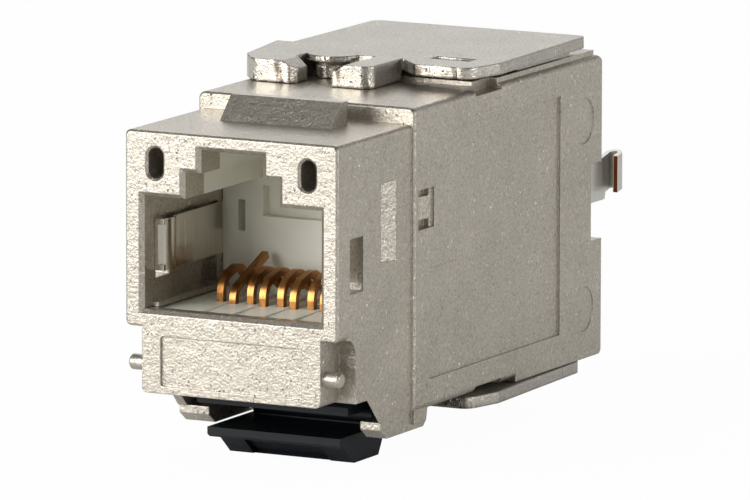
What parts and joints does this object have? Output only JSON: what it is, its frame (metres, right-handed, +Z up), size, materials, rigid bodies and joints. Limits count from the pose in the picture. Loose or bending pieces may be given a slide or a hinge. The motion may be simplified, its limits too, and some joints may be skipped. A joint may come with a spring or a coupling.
{
  "type": "shielded keystone jack",
  "caption": "Shielded cast-metal keystone jack with a stepped plug port, a panel catch above, a hinged latch below and a clamping rear cap for the cable.",
  "frame": {"origin": "centre of the port mouth, on the nose's front face", "axes": "+Y along the plug axis from the port mouth to the cable end, +Z up with the key channel at the top of the port, +X to the right as seen from the front"},
  "size_m": [0.0162, 0.0371, 0.0227],
  "materials": {
    "zinc_cast": "fine cast zinc with a satin nickel finish",
    "spring_sheet": "bright spring sheet",
    "pin_steel": "drawn steel pin",
    "white_plastic": "off-white moulded",
    "clear_plastic": "pale moulded",
    "board_laminate": "green lacquered laminate",
    "gold_wire": "gold plated wire",
    "tinned_bronze": "tinned bronze blade",
    "black_plastic": "black moulded, slightly glossy"
  },
  "bodies": {
    "jack": {"housing": "zinc_cast", "rear_cap": "zinc_cast", "cable_clip": "spring_sheet", "latch_pin": "pin_steel", "port_insert": "white_plastic", "contact_carrier": "white_plastic", "shield_spring_left": "spring_sheet", "shield_spring_right": "spring_sheet", "circuit_board": "board_laminate", "idc_block": "white_plastic", "wire_manager": "clear_plastic", "contact_1": "gold_wire", "contact_2": "gold_wire", "contact_3": "gold_wire", "contact_4": "gold_wire", "contact_5": "gold_wire", "contact_6": "gold_wire", "contact_7": "gold_wire", "contact_8": "gold_wire", "idc_contact_1": "tinned_bronze", "idc_contact_2": "tinned_bronze", "idc_contact_3": "tinned_bronze", "idc_contact_4": "tinned_bronze", "idc_contact_5": "tinned_bronze", "idc_contact_6": "tinned_bronze", "idc_contact_7": "tinned_bronze", "idc_contact_8": "tinned_bronze"},
    "latch": {"latch": "black_plastic"}
  },
  "joints": [
    {"name": "latch_hinge", "type": "hinge", "parent": "jack", "child": "latch", "pos_m": [0, 0.0106, -0.01063], "axis": [-1, 0, 0], "range_deg": [0, 8], "stiffness_Nm_per_rad": 0.05}
  ]
}
